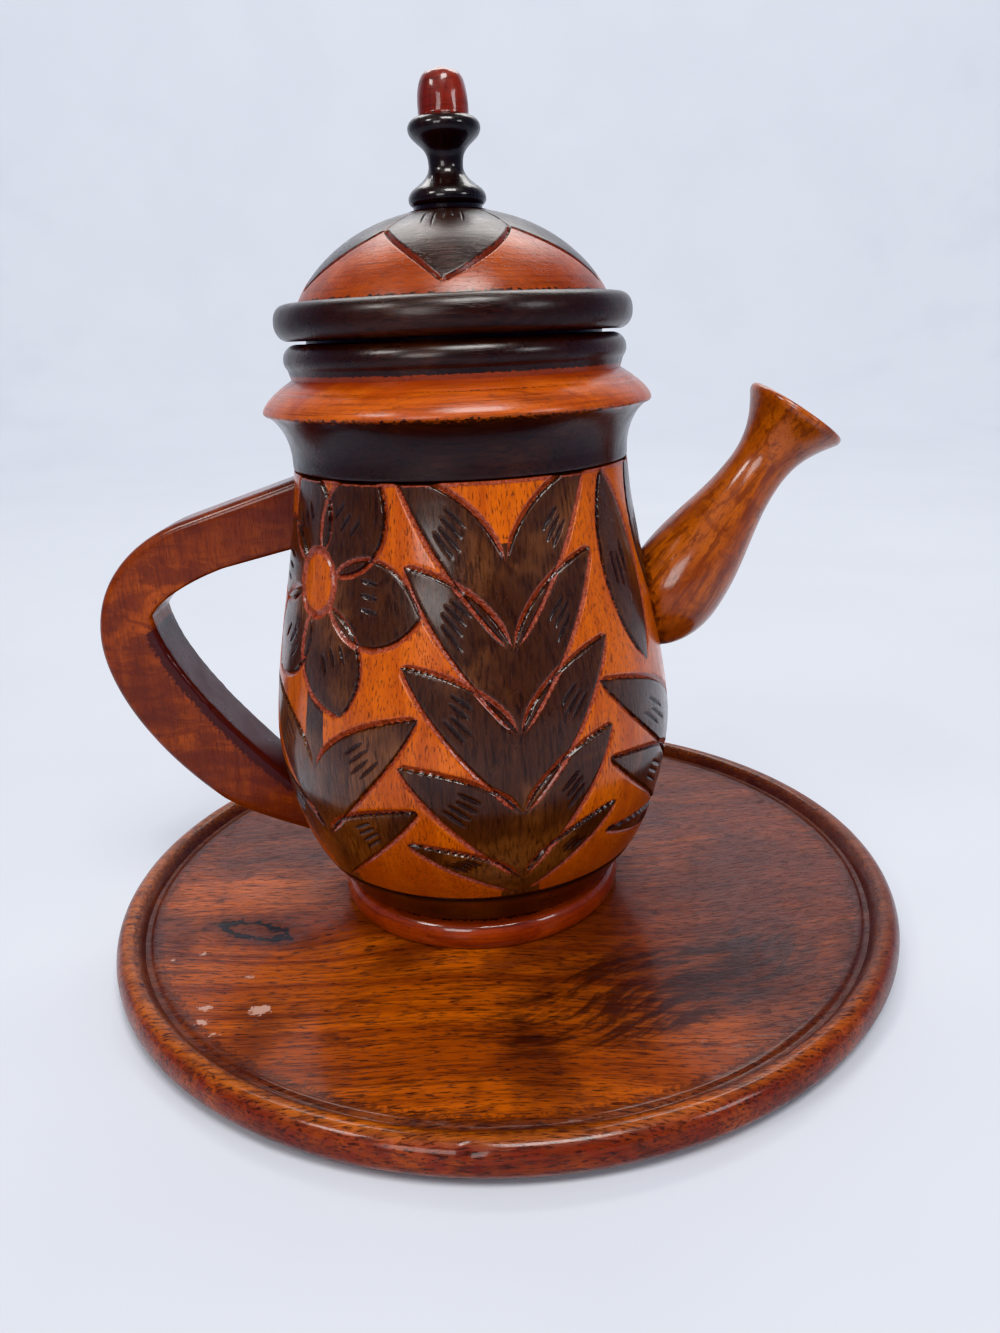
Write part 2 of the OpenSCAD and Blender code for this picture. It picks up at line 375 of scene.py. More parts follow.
def carve_side(carving, flip):
    """Cuts the front's pattern, or on the back its mirror image, each a little uneven."""
    rng = np.random.default_rng(8 if flip else 7)

    def m(points):
        return np.array(mirrored(points, 90)) if flip else np.array(points)

    def cut(leaves, leans_right, count):
        for upper, lower in leaves:
            marks = [m(pair) for pair in gouge_row(upper, lower, count, rng)]
            carving.leaf(m(upper), m(lower), marks, turned=leans_right != flip)

    cut(sprig(rng, MAIN_AZ, -1, 5, foot=30, pitch=23, reach=31, lift=13, grow=3.3), False, 4)
    cut(sprig(rng, MAIN_AZ, 1, 5, foot=30, pitch=23, reach=29, lift=20, grow=2), True, 3)
    cut(sprig(rng, SPOUT_AZ - 2, -1, 3, foot=26, pitch=15, reach=50, lift=13, grow=9), False, 3)
    for side in (-1, 1):
        cut(sprig(rng, FLOWER_AZ, side, 2, foot=40, pitch=22, reach=32, lift=16, grow=4), side > 0, 4)
    upright = [petal_edges((51, 144), (61, 87), 9), petal_edges((72, PATTERN_TOP), (86, 97), 9)]
    cut(upright + flower_petals(), False, 3)
    for outline in (stem(MAIN_AZ, 128, 7, 4.5), stem(FLOWER_AZ, 104, 8, 4.5), stem(SPOUT_AZ, 92, 14, 8)):
        carving.fill(m(outline))


def carve_flower_heart(carving, flip):
    """Oval heart of the flower, left pale inside a rough ring cut."""
    turns = np.radians(np.linspace(0, 360, 49))
    oval = np.stack([HEART[0] + HEART_WIDE * np.cos(turns), HEART[1] + HEART_HIGH * np.sin(turns)], -1)
    oval = np.array(mirrored(oval, 90)) if flip else oval
    window, distance, side, _, _ = carving.near(oval)
    inside = np.where(side > 0, distance, -distance) * (-1 if flip else 1)
    carving.shape_mm[window] = np.minimum(carving.shape_mm[window], -inside - 0.2)
    carving.cut_mm[window] = np.minimum(carving.cut_mm[window], -inside)
    carving.depth[window] = np.where(inside > 0, 0, carving.depth[window])
    carving.groove(oval, 1 if not flip else -1, depth=0.9, width=1.3, wall=1.0, fade=(0.01, 0.01))
    carving.bevel_mm[window] = np.where(inside > 1.3, -FAR, carving.bevel_mm[window])
    carving.raise_to(carving.bevel_mm, window, 1.25 - np.abs(inside - 0.1))
    carving.wall_mm[window] = np.where(inside > -2.2, -FAR, carving.wall_mm[window])


# ---------------------------------------------------------------- materials

def srgb(r, g, b):
    """Linear colour from 8-bit sRGB values."""
    values = [c / 255 for c in (r, g, b)]
    return tuple(c / 12.92 if c <= 0.04045 else ((c + 0.055) / 1.055)**2.4 for c in values) + (1,)


class Shade:
    """Builds one procedural material. Methods return sockets."""

    def __init__(self, name):
        self.material = bpy.data.materials.new(name)
        self.material.use_nodes = True
        self.tree = self.material.node_tree
        self.tree.nodes.clear()
        self.texture = self.node("ShaderNodeTexCoord").outputs["Object"]

    def node(self, kind, inputs=None, **settings):
        made = self.tree.nodes.new(kind)
        for key, value in settings.items():
            setattr(made, key, value)
        for key, value in (inputs or {}).items():
            if isinstance(value, bpy.types.NodeSocket):
                self.tree.links.new(value, made.inputs[key])
            else:
                made.inputs[key].default_value = value
        return made

    def coords(self, stretch=(1, 1, 1), tilt=0.0):
        """Object coordinates in millimetres, turned by tilt about Y, then stretched."""
        turned = self.node("ShaderNodeMapping",
                           {"Vector": self.texture, "Rotation": (0, math.radians(tilt), 0),
                            "Scale": (1 / MM, 1 / MM, 1 / MM)}, vector_type="POINT")
        return self.node("ShaderNodeVectorMath", {0: turned.outputs[0], 1: stretch},
                         operation="MULTIPLY").outputs[0]

    def noise(self, vector, scale=1.0, detail=4.0, roughness=0.55, distortion=0.0):
        made = self.node("ShaderNodeTexNoise", {"Vector": vector, "Scale": scale, "Detail": detail,
                                                "Roughness": roughness, "Distortion": distortion})
        return made.outputs["Fac"]

    def value(self, name):
        return self.node("ShaderNodeAttribute", attribute_name=name).outputs["Fac"]

    def math(self, operation, a, b=0.0):
        return self.node("ShaderNodeMath", {0: a, 1: b}, operation=operation).outputs[0]

    def remap(self, value, low, high, to_low=0.0, to_high=1.0):
        return self.node("ShaderNodeMapRange", {"Value": value, "From Min": low, "From Max": high,
                                                "To Min": to_low, "To Max": to_high},
                         interpolation_type="SMOOTHSTEP").outputs["Result"]

    def mix(self, factor, a, b):
        made = self.node("ShaderNodeMix", data_type="RGBA")
        for index, value in ((0, factor), (6, a), (7, b)):
            if isinstance(value, bpy.types.NodeSocket):
                self.tree.links.new(value, made.inputs[index])
            else:
                made.inputs[index].default_value = value
        return made.outputs[2]

    def height(self):
        """Height above the pot's foot in millimetres."""
        split = self.node("ShaderNodeSeparateXYZ", {"Vector": self.coords()})
        return self.math("SUBTRACT", split.outputs["Z"], FLOOR_Z)

    def edge(self, signed_mm, wobble=0.25, soft=0.12):
        """Mask from a signed distance, with a slightly ragged edge."""
        ragged = self.remap(self.noise(self.coords(), 0.9, 3), 0.3, 0.7, -wobble, wobble)
        return self.remap(self.math("ADD", signed_mm, ragged), -soft, soft)

    def finish(self, colour, roughness, height, bump_mm=0.25, coat=0.35, coat_roughness=0.16):
        bump = self.node("ShaderNodeBump", {"Height": height, "Distance": bump_mm * MM, "Strength": 0.6})
        shader = self.node("ShaderNodeBsdfPrincipled",
                           {"Base Color": colour, "Roughness": roughness, "Normal": bump.outputs[0],
                            "Coat Weight": coat, "Coat Roughness": coat_roughness,
                            "Specular IOR Level": 0.25})
        output = self.node("ShaderNodeOutputMaterial", {"Surface": shader.outputs[0]})
        output.is_active_output = True
        return self.material


Z_GRAIN = (1, 1, 0.07)
X_GRAIN = (0.07, 1, 1)


def wood(shade, light, mid, dark, grain=Z_GRAIN, tilt=0.0, blotch=0.6, pores=0.5, size=1.0):
    """Wood colour and its fine relief: soft bands, streaks, blotches and pores along the grain."""
    fine = shade.noise(shade.coords(grain, tilt), 0.9 / size, 5, 0.6, 0.3)
    broad = shade.noise(shade.coords(grain, tilt), 0.14 / size, 3, 0.5, 0.8)
    cloud = shade.noise(shade.coords(), 0.035 / size, 3, 0.6, 0.5)
    colour = shade.mix(shade.remap(broad, 0.35, 0.68), light, mid)
    colour = shade.mix(shade.remap(fine, 0.48, 0.78, 0, 0.55), colour, dark)
    colour = shade.mix(shade.remap(cloud, 0.45, 0.75, 0, blotch), colour, mid)
    short = tuple(c * 2.6 if c == 1 else c * 5 for c in grain)
    specks = shade.noise(shade.coords(short, tilt), 1.0, 2, 0.5)
    pore = shade.remap(specks, 0.55, 0.68, 0, pores)
    colour = shade.mix(pore, colour, dark)
    height = shade.math("SUBTRACT", fine, shade.math("MULTIPLY", pore, 0.8))
    return colour, height


BODY_STAIN = (srgb(58, 33, 21), srgb(98, 60, 38), srgb(21, 10, 7))
RING_STAIN = (srgb(34, 18, 14), srgb(52, 29, 21), srgb(14, 7, 6))
KNOB_STAIN = (srgb(16, 8, 7), srgb(28, 13, 10), srgb(7, 4, 4))
CUT_RED = srgb(152, 76, 58)
CUT_BROWN = srgb(102, 40, 26)
# Near-black painted into groove walls, gouge strokes, scratches and seams: painted shade in the cuts.
CUT_SHADE = srgb(20, 8, 6)


def stain(shade, tones, grain=Z_GRAIN):
    """Dark stain through which a little of the grain still shows."""
    usual, thin, deep = tones
    fine = shade.noise(shade.coords(grain), 1.1, 5, 0.65, 0.4)
    cloud = shade.noise(shade.coords(), 0.032, 3, 0.6, 0.4)
    colour = shade.mix(shade.remap(cloud, 0.46, 0.66), usual, thin)
    return shade.mix(shade.remap(fine, 0.42, 0.7, 0, 0.85), colour, deep)


def carved_material():
    """Body: pale ground, stained leaves, red bevels and painted shade in the cuts, by distance from the
    carving.
    """
    shade = Shade("carved_wood")
    ground, height = wood(shade, srgb(184, 86, 14), srgb(158, 66, 9), srgb(84, 32, 8),
                          blotch=0.7, pores=0.9)
    # Ground darker and speckled towards the bottom of the belly
    low = shade.remap(shade.height(), 62, 30, 0, 0.6)
    low_speckle_noise = shade.noise(shade.coords(), 1.7, 2)
    speckled = shade.mix(shade.remap(low_speckle_noise, 0.52, 0.66), srgb(132, 50, 16), srgb(70, 24, 8))
    ground = shade.mix(low, ground, speckled)
    leaf = shade.edge(shade.value("leaf_mm"), 0.12)
    band = shade.remap(shade.height(), 23.2, 22.4)
    bevel = shade.edge(shade.value("bevel_mm"), 0.2, 0.16)
    wall = shade.edge(shade.value("wall_mm"), 0.1, 0.12)
    cut = shade.edge(shade.value("cut_mm"), 0.1, 0.12)
    tone = shade.noise(shade.coords(), 1.1, 4, 0.7)
    red = shade.mix(shade.remap(tone, 0.38, 0.62), CUT_RED, CUT_BROWN)
    colour = shade.mix(leaf, ground, shade.mix(band, stain(shade, BODY_STAIN), stain(shade, KNOB_STAIN)))
    colour = shade.mix(shade.math("MULTIPLY", bevel, 0.92), colour, red)
    # Painted shade: near-black in the steep groove walls and the gouge strokes
    colour = shade.mix(shade.math("MULTIPLY", wall, 0.92), colour, CUT_SHADE)
    colour = shade.mix(shade.math("MULTIPLY", cut, 0.8), colour, CUT_SHADE)
    chatter = shade.noise(shade.coords(), 1.5, 2)
    roughness = shade.remap(shade.noise(shade.coords(), 0.08, 3), 0.3, 0.7, 0.26, 0.42)
    cuts = shade.math("MAXIMUM", bevel, cut)
    height = shade.math("ADD", height, shade.math("MULTIPLY", shade.math("MULTIPLY", cuts, chatter), 1.6))
    return shade.finish(colour, roughness, height, 0.26, coat=0.6, coat_roughness=0.15)


def turned_material(name, tones, stains, grain, coat=0.6, coat_roughness=0.16):
    """Turned wood with bands of dark stain where its stain_mm is positive."""
    shade = Shade(name)
    light, mid, dark = tones
    ground, height = wood(shade, light, mid, dark, grain, blotch=0.8, pores=0.35)
    rings = shade.noise(shade.coords((0.02, 0.02, 1)), 1.6, 4, 0.65)
    ground = shade.mix(shade.remap(rings, 0.48, 0.7, 0, 0.6), ground, dark)
    mask = shade.edge(shade.value("stain_mm"), 0.6, 0.16)
    red = shade.remap(shade.value("red_mm"), -1.2, 0.8)
    colour = shade.mix(shade.math("MULTIPLY", red, 0.75), ground, srgb(104, 32, 16))
    colour = shade.mix(mask, colour, stain(shade, stains, grain))
    colour = shade.mix(shade.edge(shade.value("bevel_mm"), 0.3, 0.14), colour, srgb(92, 34, 20))
    # Near-black in the cuts: painted shade in the lid's groove walls, its scratches and the collar's seam
    # groove; also along the collar's scored line
    colour = shade.mix(shade.edge(shade.value("cut_mm"), 0.08, 0.1), colour, CUT_SHADE)
    roughness = shade.remap(shade.noise(shade.coords(), 0.1, 3), 0.3, 0.7, 0.26, 0.42)
    height = shade.math("ADD", height, shade.math("MULTIPLY", rings, 0.6))
    return shade.finish(colour, roughness, height, 0.2, coat, coat_roughness)


def plain_material(name, tones, grain, tilt=0.0, size=1.0, coat=0.5, extra=None):
    """Clear-finished wood. extra may repaint it, given the shade and the colour."""
    shade = Shade(name)
    light, mid, dark = tones
    colour, height = wood(shade, light, mid, dark, grain, tilt, 0.8, 0.6, size)
    if extra:
        colour = extra(shade, colour)
    roughness = shade.remap(shade.noise(shade.coords(), 0.09, 3), 0.3, 0.7, 0.26, 0.44)
    return shade.finish(colour, roughness, height, 0.24, coat)


# ---------------------------------------------------------------- the pieces

def body_outline(pitch):
    return path((FOOT_R - 0.6, 11),
                [(FOOT_R + 1.2, 14), (FOOT_R + 3.4, 17.5), (FOOT_R + 6, BAND_Z)],
                [(BELLY_R - 3.2, 31.5), (BELLY_R + 0.9, 55.5), (BELLY_R - 0.1, 66.5)],
                [(BELLY_R - 2.7, 94.5), (53, 118.5), (50.6, SEAM_Z)], pitch=pitch)


def body_inside():
    """Cavity and underside, from the seam down inside to the mortise for the foot's spigot."""
    return path((50.6, SEAM_Z), (42.6, SEAM_Z), (42.6, 136.2),
                [(42.6, 116), (54.7, 96), (55.7, 66.5)], [(55.7, 46), (48, 26), (36, 24)],
                (0, 24), pitch=2.0)


def make_body():
    around = 860
    under = path((0, 17.1), (18.1, 17.1), (18.1, 11), (FOOT_R - 0.6, 11), pitch=3.0)
    outside = body_outline(0.46)
    profile = join(under, outside, body_inside())
    carving = Carving(outside, outside[:, 1], around)
    for flip in (False, True):
        carve_side(carving, flip)
    for flip in (False, True):
        carve_flower_heart(carving, flip)
    line = carving.s - carving.along(BAND_Z + 2.2)
    level = np.broadcast_to(line[:, None], carving.depth.shape)
    band_cut = np.clip(1 - np.abs(level) / 0.8, 0, 1)
    carving.depth = np.where(level < -0.8, 0, carving.depth)
    carving.depth = np.maximum(carving.depth, band_cut)
    carving.shape_mm = np.where(level < 0, FAR, carving.shape_mm)
    carving.bevel_mm = np.where(level < 0.9, -FAR, carving.bevel_mm)
    # Near-black along the groove above the dark base band: painted shade in the groove
    carving.wall_mm = np.maximum(carving.wall_mm, 0.7 - np.abs(level))
    top = np.broadcast_to((carving.s - carving.s[-1] + 0.9)[:, None], level.shape)
    carving.bevel_mm = np.maximum(carving.bevel_mm, top)
    uneven = 0.09 * waver(carving.azimuth[None, :], outside[:, 1:], 5)
    held = ease((outside[:, 1:] - 12) / 6) * ease((SEAM_Z - outside[:, 1:]) / 5)
    sink = np.zeros((len(profile), around))
    first = len(under) - 1
    last = first + len(outside)
    sink[first:last] = carving.depth + (uneven + 0.1) * held
    values = {}
    for key, grid, rest in (("leaf_mm", carving.shape_mm, FAR), ("bevel_mm", carving.bevel_mm, -FAR),
                            ("wall_mm", carving.wall_mm, -FAR), ("cut_mm", carving.cut_mm, -FAR)):
        full = np.full(sink.shape, rest)
        full[first:last] = grid
        values[key] = full
    piece = skin("carved_body", turn(profile, around, sink), values)
    return place(piece, "pot", "body", carved_material())


def stained_between(heights, *bands):
    """Signed distance in mm: positive where a height lies in one of the bands."""
    inside = [np.minimum(heights - low, high - heights) for low, high in bands]
    return np.clip(np.max(inside, axis=0), -FAR, FAR)


def make_collar():
    around = 384
    z = SEAM_Z
    bead_x, bead_r = 46.2, 4.3
    centre = (bead_x, COLLAR_TOP - bead_r)
    bead = np.array([(centre[0] + bead_r * math.cos(a), centre[1] + bead_r * math.sin(a))
                     for a in np.radians(np.linspace(-40, 90, 18))])
    inside = path((38.5, z - 6), (42.5, z - 6), (42.5, z), (50.6, z), pitch=1.0)
    outside = path((50.6, z), (50.7, z + 4), [(51, z + 9.5), (53.6, z + 14.2), (OGEE_R - 1.2, z + 16)],
                   [(OGEE_R - 0.4, z + 16.1), (OGEE_R, z + 16.5), (OGEE_R, z + 17)],
                   [(OGEE_R - 0.2, z + 19.2), (OGEE_R - 3.6, z + 22.4), (48.7, z + 25.7)],
                   tuple(bead[0]), pitch=0.5)
    top = path(tuple(bead[-1]), (39.5, COLLAR_TOP), (38.5, COLLAR_TOP - 1), (38.5, z - 5.5), pitch=1.0)
    profile = np.vstack([inside, outside[1:], bead[1:], top[1:]])
    heights = profile[:, 1]
    outer = profile[:, 0] > 43
    ragged = 0.7 * stained_between(heights, (0, z + 16.3))
    clean = 3 * stained_between(heights, (z + 27.0, 400))
    stained = np.where(outer, np.maximum(ragged, clean), 1.0)
    red = np.where(outer, stained_between(heights, (z + 24.6, z + 28.5)), -FAR)
    azimuth = azimuths(around)[None, :]
    sink = 0.05 * (waver(azimuth, heights[:, None], 11) + 1) * outer[:, None]
    score = z + 22.9 + 0.25 * np.sin(np.radians(azimuth) * 2 + 1)
    scored = 0.22 - np.abs(heights[:, None] - score)
    sink = sink + np.clip(scored * 1.2, 0, 0.2) * outer[:, None]
    seam = np.clip(1 - (heights[:, None] - z) / 0.8, 0, 1) * (heights[:, None] >= z) * outer[:, None]
    sink = sink + 0.6 * seam
    # Near-black along the scored line, and in the seam groove at the joint with the body as painted shade
    cut = np.maximum(scored - 0.15, z + 0.5 - heights[:, None])
    values = {"stain_mm": stained[:, None], "red_mm": red[:, None], "bevel_mm": -FAR,
              "cut_mm": np.where(outer[:, None], cut, -FAR)}
    piece = skin("collar_ring", turn(profile, around, sink), values, loop=True)
    tones = (srgb(172, 80, 24), srgb(148, 60, 18), srgb(78, 28, 12))
    material = turned_material("collar_wood", tones, RING_STAIN, X_GRAIN, 0.5, 0.24)
    return place(piece, "pot", "collar", material)


def make_foot():
    around = 320
    r = FOOT_R
    profile = path((0, 0), (r - 1.6, 0), [(r - 0.4, 0.6), (r, 2.2), (r, 4)],
                   [(r, 6.6), (r - 1, 8.5), (r - 2.6, 8.5)],
                   (r - 4.2, 9.1), (r - 4.2, 11), (18, 11), (18, 17), (0, 17), pitch=0.7)
    stained = (profile[:, 1] - 8.8) * 3
    values = {"stain_mm": np.clip(stained, -FAR, FAR)[:, None],
              "red_mm": -FAR, "bevel_mm": -FAR, "cut_mm": -FAR}
    sink = 0.06 * (waver(azimuths(around)[None, :], profile[:, 1:], 21) + 1)
    piece = skin("foot_ring", turn(profile, around, sink * (profile[:, 1:] > 1)), values)
    tones = (srgb(146, 56, 26), srgb(116, 38, 18), srgb(58, 18, 10))
    material = turned_material("foot_wood", tones, KNOB_STAIN, X_GRAIN, 0.9, 0.12)
    return place(piece, "pot", "foot", material)


LID_PETALS = 5
LID_TIP_R, LID_VALLEY_R = 43.6, 29.0


def petal_edge(valley, tip, belly):
    """Edge of a petal from its valley to its tip, fuller by the valley as belly grows."""
    (a, r), (b, q) = valley, tip
    points = [(a + t * (b - a), r + (t + belly * t * (1 - t)) * (q - r))
              for t in (0, 0.2, 0.45, 0.75, 0.92, 1)]
    return smooth_line(points, 1.5)


def carve_dome(carving):
    """Ring of dark pointed petals round the finial, with veins and the cuts between them."""
    rng = np.random.default_rng(3)
    step = 360 / LID_PETALS
    tips = [(step * i + rng.uniform(-2, 2), LID_TIP_R + rng.uniform(-0.4, 0.4)) for i in range(LID_PETALS)]
    valleys = [(step * (i + 0.5) + rng.uniform(-2, 2), LID_VALLEY_R + rng.uniform(-1.5, 1.5))
               for i in range(LID_PETALS)]
    ring = []
    for i, tip in enumerate(tips):
        after = valleys[i]
        before = (valleys[i - 1][0] - (360 if i == 0 else 0), valleys[i - 1][1])
        rising, falling = petal_edge(before, tip, 0.05), petal_edge(after, tip, 0.5)
        carving.groove(rising, 1, width=1.0, depth=0.8, wall=0.4, fade=(1.5, 1.5))
        carving.groove(falling, -1, width=1.0, depth=0.8, wall=0.4, fade=(1.5, 1.5))
        seam = smooth_line([after, (after[0] + 1, 12)])
        carving.groove(seam, 1, width=0.3, depth=0.3, wall=0.2, fade=(1, 1))
        ring += [rising, falling[::-1]]
        for k in range(5):
            a = tip[0] + (k - 2) * 7 + rng.uniform(-2, 2)
            r = rng.uniform(13, 17)
            end = (tip[0] + (a - tip[0]) * 0.8, r + rng.uniform(8, 14))
            carving.gouge((a, r), end, width=0.26, depth=0.2)
    edge = np.vstack(ring)
    order = np.argsort(edge[:, 0])
    limit = np.interp((carving.azimuth - valleys[-1][0] + 720) % 360 + valleys[-1][0] - 360,
                      edge[order, 0], edge[order, 1])
    for line in ring:
        window, distance, _, _, _ = carving.near(line)
        inside = carving.level[window[0].ravel()][:, None] < limit[window[1].ravel()][None, :]
        signed = np.where(inside, distance, -distance)
        known = carving.shape_mm[window]
        carving.shape_mm[window] = np.where(np.abs(signed) < np.abs(known), signed, known)
    inside = carving.level[:, None] < limit[None, :]
    carving.shape_mm = np.where(inside, np.abs(carving.shape_mm), -np.abs(carving.shape_mm))


def make_lid():
    around = 720
    under = COLLAR_TOP + 0.8
    top = under + 10.1
    r = FLANGE_R
    base = path((0, COLLAR_TOP - 2), (28.9, COLLAR_TOP - 8), (36.9, COLLAR_TOP - 8), (37.9, COLLAR_TOP - 7),
                (37.9, COLLAR_TOP), (43.5, COLLAR_TOP), (43.5, under), (r - 3.4, under), pitch=2.0)
    flange = path((r - 3.4, under), [(r - 0.9, under + 0.6), (r, under + 2.8), (r, under + 5.05)],
                  [(r, top - 2), (r - 1.6, top), (r - 4, top)], (r - 7.3, top), pitch=0.6)
    dome = path((r - 7.3, top), [(r - 12.3, top + 10.3), (25, top + 24.1), (0, top + 24.1)], pitch=0.45)
    dome = dome[dome[:, 1] < FINIAL_Z]
    hole_end = FINIAL_Z - FINIAL_TENON - 0.1
    seat = path(tuple(dome[-1]), (11.5, FINIAL_Z), (4.1, FINIAL_Z), (4.1, hole_end), (0, hole_end),
                pitch=1.0)
    profile = join(base, flange, dome, seat)
    first = len(base) + len(flange) - 2
    last = first + len(dome)
    carving = Carving(dome, dome[:, 0], around)
    carve_dome(carving)
    shape = (len(profile), around)
    sink = 0.05 * (waver(azimuths(around)[None, :], profile[:, 1:], 31) + 1)
    open_face = (profile[:, 1:] > under + 1) & (profile[:, 1:] < FINIAL_Z - 0.5)
    sink = np.array(np.broadcast_to(sink, shape)) * open_face
    sink[first:last] += carving.depth
    stained = np.full(shape, FAR)
    stained[first:last] = carving.shape_mm
    stained[first:last] = np.maximum(stained[first:last], 0.35 - carving.s[:, None])
    bevel, cut = np.full(shape, -FAR), np.full(shape, -FAR)
    bevel[first:last] = carving.bevel_mm
    # Near-black painted shade in the petal cuts' steep walls and in the scratches
    cut[first:last] = np.maximum(carving.wall_mm, carving.cut_mm)
    values = {"stain_mm": stained, "red_mm": -FAR, "bevel_mm": bevel, "cut_mm": cut}
    piece = skin("lid_dome", turn(profile, around, sink), values)
    tones = (srgb(150, 66, 22), srgb(124, 48, 17), srgb(66, 24, 11))
    material = turned_material("lid_wood", tones, RING_STAIN, X_GRAIN, 0.4, 0.28)
    return place(piece, "lid", "lid", material)


def make_finial():
    around = 160
    base = path((0, -11), (4, -11), (4, 0), (9.8, 0), (9.9, 1.4), [(11.6, 2), (11.6, 4.6), (9.3, 6.2)],
                [(6.6, 8), (4.9, 9.6), (4.9, 11.8)], [(4.9, 16), (6.8, 16.6), (9.1, 18.8)],
                [(11, 20.8), (10.5, 23.2), (7.7, 24.1)], (7.2, 24.3),
                [(7.3, 28.5), (6.9, 33), (5.3, 34.6)], [(4.4, 35.6), (3, 35.8), (2, 35.9)],
                [(1.6, 36.4), (0.8, 36.6), (0, 36.6)], pitch=0.3)
    profile = base + np.array([0, FINIAL_Z])
    stained = np.clip(24.15 - base[:, 1:], -FAR, FAR)
    uneven = 0.12 * (waver(azimuths(around)[None, :], base[:, 1:], 41, 0.3) + 1) * (base[:, 1:] > 24.6)
    values = {"stain_mm": stained, "red_mm": -FAR, "bevel_mm": -FAR, "cut_mm": -FAR}
    piece = skin("finial_knob", turn(profile, around, uneven), values)
    tones = (srgb(122, 40, 26), srgb(96, 27, 18), srgb(50, 14, 10))
    material = turned_material("finial_wood", tones, KNOB_STAIN, Z_GRAIN, coat=0.6, coat_roughness=0.09)
    return place(piece, "lid", "finial", material)


SPOUT_TILT = 35.0
SPOUT_MOUTH = (103.0, 154.5)


def spout_points(radius, height, angle):
    """Places in the pot's frame of points round the spout's axis; height is 0 at its mouth."""
    tilt = math.radians(SPOUT_TILT)
    x, y = radius * np.cos(angle), radius * np.sin(angle)
    return np.stack([SPOUT_MOUTH[0] + x * math.cos(tilt) + height * math.sin(tilt),
                     y + 0 * height,
                     SPOUT_MOUTH[1] - x * math.sin(tilt) + height * math.cos(tilt)], -1)


def meets(outline, radius, angle, low, high):
    """How far down the spout's axis a line parallel to it, at an angle round it, enters a turned shape."""
    def gap(height):
        p = spout_points(radius(height), height, angle)
        wall = np.interp(p[..., 2], outline[:, 1], outline[:, 0])
        return np.hypot(p[..., 0], p[..., 1]) - wall
    near, far = np.full(angle.shape, high), np.full(angle.shape, low)
    for _ in range(40):
        middle = (near + far) / 2
        outside = gap(middle) > 0
        near = np.where(outside, middle, near)
        far = np.where(outside, far, middle)
    return (near + far) / 2


